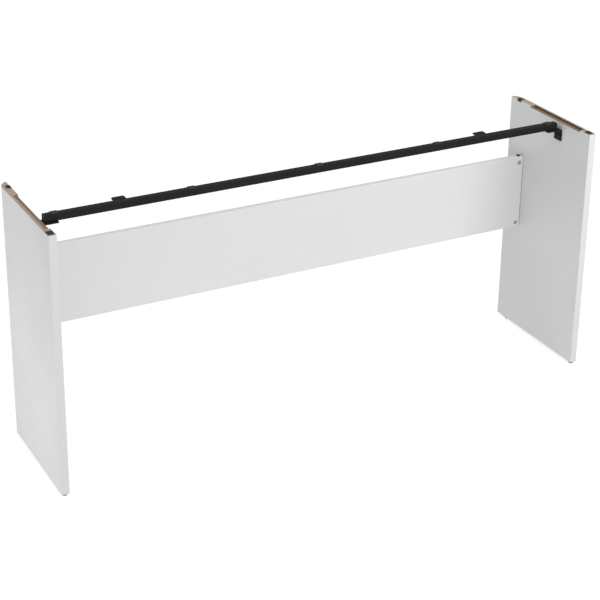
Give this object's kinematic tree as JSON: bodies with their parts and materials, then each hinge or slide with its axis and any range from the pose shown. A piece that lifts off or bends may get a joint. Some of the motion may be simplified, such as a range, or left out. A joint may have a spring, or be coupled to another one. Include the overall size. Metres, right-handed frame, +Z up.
{
  "type": "digital piano stand",
  "caption": "Furniture-style stand for a slab digital piano: white side panels, back board and black steel support rail.",
  "frame": {"origin": "on the floor under the middle of the stand: centre of the bounding box's bottom face", "axes": "+X to the right of a player facing the keyboard, +Y away from the player, +Z up"},
  "size_m": [1.31, 0.31, 0.59],
  "materials": {
    "white_laminate": "white melamine laminate on fibreboard, fine pebble texture; the panels' top edges show the raw board",
    "white_edge_strip": "satin plastic edge strip",
    "black_steel": "fine-textured black powder coat",
    "black_screw": "black-oxide steel, satin",
    "black_rubber": "solid black rubber, matte",
    "black_plastic": "moulded, lightly glossy",
    "zinc_plate": "zinc plated, dull",
    "nickel_plate": "nickel plated, polished",
    "beech": "plain turned dowel"
  },
  "bodies": {
    "root": {"left_side_panel": "white_laminate", "right_side_panel": "white_laminate", "left_front_edge_band": "white_edge_strip", "right_front_edge_band": "white_edge_strip", "left_front_bumper": "black_rubber", "left_rear_bumper": "black_rubber", "right_front_bumper": "black_rubber", "right_rear_bumper": "black_rubber", "back_board": "white_laminate", "board_top_edge_band": "white_edge_strip", "board_bottom_edge_band": "white_edge_strip", "board_edge_plugs": "black_plastic", "cam_locks": "zinc_plate", "cam_bolts": "zinc_plate", "alignment_dowels": "beech", "support_rail": "black_steel", "left_rail_end_plug": "black_plastic", "right_rail_end_plug": "black_plastic", "left_rail_tab": "black_steel", "right_rail_tab": "black_steel", "rail_bumpers": "black_rubber", "left_end_bracket": "black_steel", "right_end_bracket": "black_steel", "bracket_screws": "black_screw", "bracket_inserts": "zinc_plate", "rail_clamp_screws": "black_screw", "rail_clamp_washers": "zinc_plate", "rail_rivet_nuts": "zinc_plate", "left_front_glide": "nickel_plate", "left_rear_glide": "nickel_plate", "right_front_glide": "nickel_plate", "right_rear_glide": "nickel_plate"}
  },
  "joints": []
}
